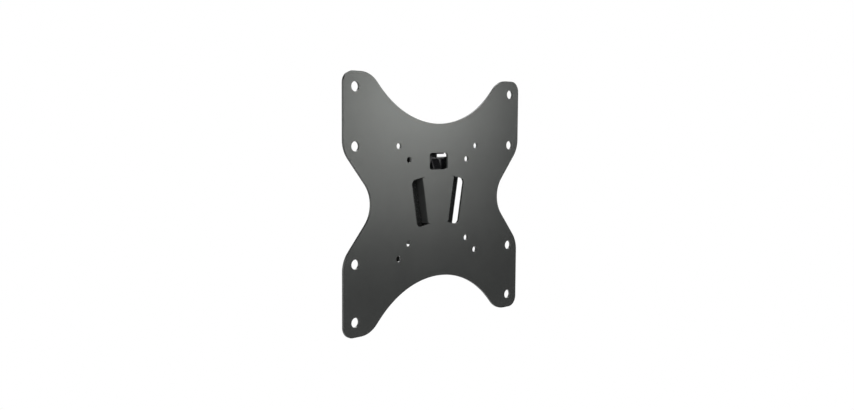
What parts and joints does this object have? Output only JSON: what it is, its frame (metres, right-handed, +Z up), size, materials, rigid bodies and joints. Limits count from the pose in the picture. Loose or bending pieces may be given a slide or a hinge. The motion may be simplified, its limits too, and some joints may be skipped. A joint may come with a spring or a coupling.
{
  "type": "tv wall mount",
  "caption": "Low-profile fixed wall mount for a flat screen: waisted screen plate with hooked rails, V-shaped wall plate and a spring catch.",
  "frame": {"origin": "centre of the screen hole pattern, on the front face of the screen plate", "axes": "+X right seen from the room, +Y back to the wall, +Z up as mounted"},
  "size_m": [0.226, 0.025, 0.226],
  "materials": {
    "coated_sheet": "satin",
    "coated_channel": "satin",
    "catch_plastic": "gloss",
    "rivet_steel": "satin"
  },
  "bodies": {
    "root": {"screen_plate": "coated_sheet", "wall_plate": "coated_channel", "catch": "catch_plastic", "catch_rivets": "rivet_steel"}
  },
  "joints": []
}
